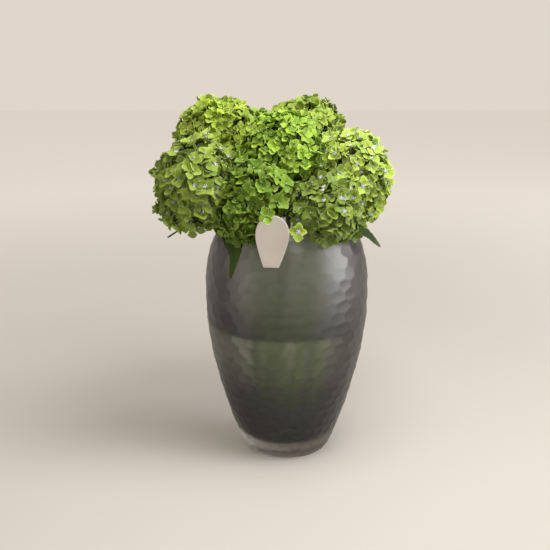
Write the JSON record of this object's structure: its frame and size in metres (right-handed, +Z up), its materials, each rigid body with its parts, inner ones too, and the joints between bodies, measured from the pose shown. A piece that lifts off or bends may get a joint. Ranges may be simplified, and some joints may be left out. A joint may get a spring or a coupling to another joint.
{
  "type": "hydrangeas in a vase",
  "caption": "Cut green mophead hydrangeas with leaves, standing in water in a tall, narrow-footed vase of thick smoked satin glass, with a blank card tag.",
  "frame": {"origin": "centre of the vase's flat foot, on the table", "axes": "+Z up along the vase's axis, -Y towards the front, +X to the right seen from the front"},
  "size_m": [0.2796, 0.2493, 0.4417],
  "materials": {
    "smoke_glass": "satin, acid etched, hand carved outside",
    "water": "clear liquid",
    "stalk": "fresh green stalk, smooth",
    "foliage": "fresh leaf, softly glossy",
    "card": "uncoated card",
    "florets": "matte petals"
  },
  "bodies": {
    "root": {"vase": "smoke_glass", "water": "water", "stem_left": "stalk", "stem_back_left_top": "stalk", "stem_top_right": "stalk", "stem_centre": "stalk", "stem_front_centre": "stalk", "stem_right": "stalk", "stem_front_right": "stalk", "stem_front_left": "stalk", "stem_back_left": "stalk", "stem_back_right": "stalk", "stem_back": "stalk", "leaf_front_left": "foliage", "leaf_right": "foliage", "leaf_left": "foliage", "leaf_left_inner": "foliage", "leaf_back_left": "foliage", "leaf_back": "foliage", "leaf_back_right": "foliage", "tag": "card", "flower_left": "florets", "flower_back_left_top": "florets", "flower_top_right": "florets", "flower_centre": "florets", "flower_front_centre": "florets", "flower_right": "florets", "flower_front_right": "florets", "flower_front_left": "florets", "flower_back_left": "florets", "flower_back_right": "florets", "flower_back": "florets"}
  },
  "joints": []
}
